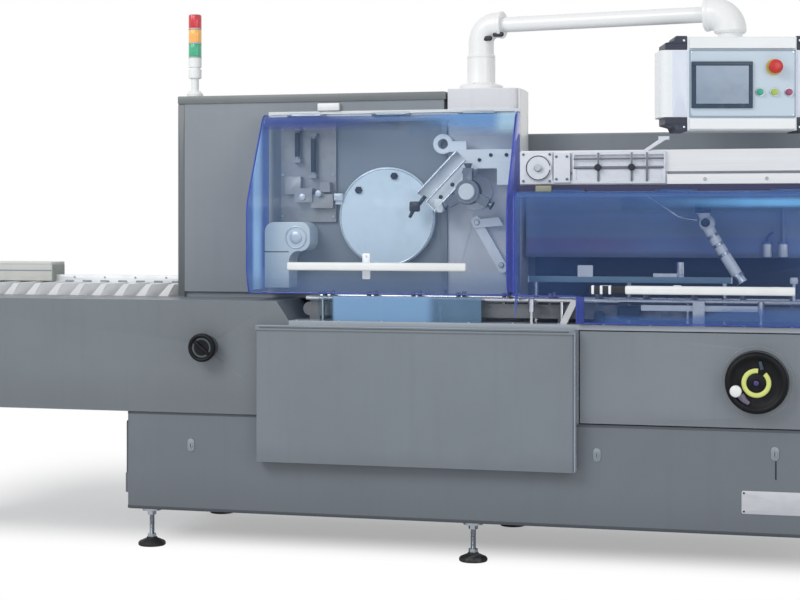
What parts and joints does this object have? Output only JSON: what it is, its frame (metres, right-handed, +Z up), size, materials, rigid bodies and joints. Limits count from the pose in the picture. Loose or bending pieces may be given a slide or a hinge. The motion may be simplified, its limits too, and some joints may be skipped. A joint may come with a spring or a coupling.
{
  "type": "cartoning machine",
  "caption": "Horizontal cartoning machine with lift-up blue guards, bucket-chain infeed, carton magazine and swinging control box.",
  "frame": {"origin": "on the floor under the middle of the machine", "axes": "+X runs with the product from the infeed to the outfeed, +Y from the operator side to the rear, +Z up"},
  "size_m": [3.9, 0.954, 1.9269],
  "materials": {
    "lower_paint": "satin grey paint",
    "foot_rubber": "black moulded pad on a plated stud",
    "body_paint": "satin grey paint",
    "cover_paint": "light grey paint",
    "panel_paint": "satin grey paint",
    "cover_panel": "satin grey paint",
    "cabinet_paint": "satin grey paint",
    "housing_paint": "satin grey paint",
    "pillar_paint": "pale grey paint",
    "machined_steel": "machined",
    "white_plastic": "moulded white",
    "stainless": "brushed stainless",
    "deck_steel": "brushed stainless",
    "guard_steel": "satin grey paint",
    "hinge_steel": "satin",
    "blue_guard": "blue tinted clear sheet",
    "blue_guard_right": "blue tinted clear sheet",
    "handle_white": "white moulded",
    "beam_steel": "brushed stainless",
    "rod_steel": "polished rod",
    "chute_steel": "brushed stainless",
    "disc_steel": "satin",
    "feeder_metal": "anodised",
    "guide_metal": "satin",
    "slide_metal": "satin",
    "drive_enamel": "pale enamel",
    "rail_steel": "brushed stainless",
    "low_guard_blue": "blue tinted clear sheet",
    "carriage_metal": "satin",
    "cap_navy": "dark moulded",
    "chain_steel": "oiled steel",
    "nozzle_metal": "satin",
    "arm_casting": "white enamel",
    "box_aluminium": "white enamel",
    "panel_grey": "satin grey paint",
    "bezel_black": "dark moulded",
    "screen_glass": "display cover",
    "stop_red": "red moulded",
    "button_plastic": "coloured caps",
    "pole_grey": "grey moulded",
    "lamp_plastic": "coloured lens stack",
    "wheel_black": "black moulded",
    "outfeed_steel": "brushed stainless",
    "belt_black": "dark belt"
  },
  "bodies": {
    "machine": {"base_frame": "lower_paint", "feet_front": "foot_rubber", "feet_rear": "foot_rubber", "infeed_housing": "body_paint", "infeed_track": "machined_steel", "infeed_chain": "white_plastic", "infeed_guide": "stainless", "infeed_cover": "cover_paint", "infeed_leg": "lower_paint", "upper_body": "body_paint", "right_panel": "panel_paint", "front_cover": "cover_panel", "deck_plate": "deck_steel", "rear_cabinet": "cabinet_paint", "rear_housing": "housing_paint", "inner_guard": "guard_steel", "arm_pillar": "pillar_paint", "left_hood_rail": "hinge_steel", "right_hood_rail": "hinge_steel", "magazine_beam": "beam_steel", "magazine_rails": "rod_steel", "magazine_chute": "chute_steel", "feeder_disc": "disc_steel", "guide_arm": "guide_metal", "slide_unit": "slide_metal", "drive_housing": "drive_enamel", "product_rail": "rail_steel", "low_guard": "low_guard_blue", "magazine_carriage": "carriage_metal", "carton_chain": "chain_steel", "carton_rails": "rod_steel", "nozzle_arm": "nozzle_metal", "pendant_post": "arm_casting", "signal_pole": "pole_grey", "signal_lamps": "lamp_plastic", "outfeed_frame": "outfeed_steel", "outfeed_belt": "belt_black"},
    "left_guard": {"left_hood": "blue_guard", "left_hood_handle": "handle_white"},
    "right_guard": {"right_hood": "blue_guard_right", "right_hood_handle": "handle_white"},
    "feeder_rotor": {"rotary_feeder": "feeder_metal"},
    "swing_arm": {"pendant_arm": "arm_casting"},
    "pendant_box": {"control_box": "box_aluminium", "box_caps": "cap_navy", "control_panel": "panel_grey", "screen_bezel": "bezel_black", "touch_screen": "screen_glass", "stop_button": "stop_red", "push_buttons": "button_plastic"},
    "main_wheel": {"main_handwheel": "wheel_black"},
    "small_wheel": {"small_handwheel": "wheel_black"}
  },
  "joints": [
    {"name": "left_hood_lift", "type": "hinge", "parent": "machine", "child": "left_guard", "pos_m": [-0.0305, -0.175, 1.5425], "axis": [-1, 0, 0], "range_deg": [0, 80]},
    {"name": "right_hood_lift", "type": "hinge", "parent": "machine", "child": "right_guard", "pos_m": [0.9935, -0.358, 1.2605], "axis": [-1, 0, 0], "range_deg": [0, 75]},
    {"name": "feeder_turn", "type": "hinge", "parent": "machine", "child": "feeder_rotor", "pos_m": [0.273, -0.303, 1.264], "axis": [0, -1, 0], "continuous": true},
    {"name": "arm_swing", "type": "hinge", "parent": "machine", "child": "swing_arm", "pos_m": [0.274, -0.065, 1.745], "axis": [0, 0, -1], "range_deg": [0, 45]},
    {"name": "box_swivel", "type": "hinge", "parent": "swing_arm", "child": "pendant_box", "pos_m": [1.15978, -0.22438, 1.774], "axis": [0, 0, 1], "range_deg": [-40, 40]},
    {"name": "main_wheel_turn", "type": "hinge", "parent": "machine", "child": "main_wheel", "pos_m": [1.257, -0.403, 0.642], "axis": [0, -1, 0], "continuous": true},
    {"name": "small_wheel_turn", "type": "hinge", "parent": "machine", "child": "small_wheel", "pos_m": [-0.638, -0.403, 0.722], "axis": [0, -1, 0], "continuous": true}
  ]
}
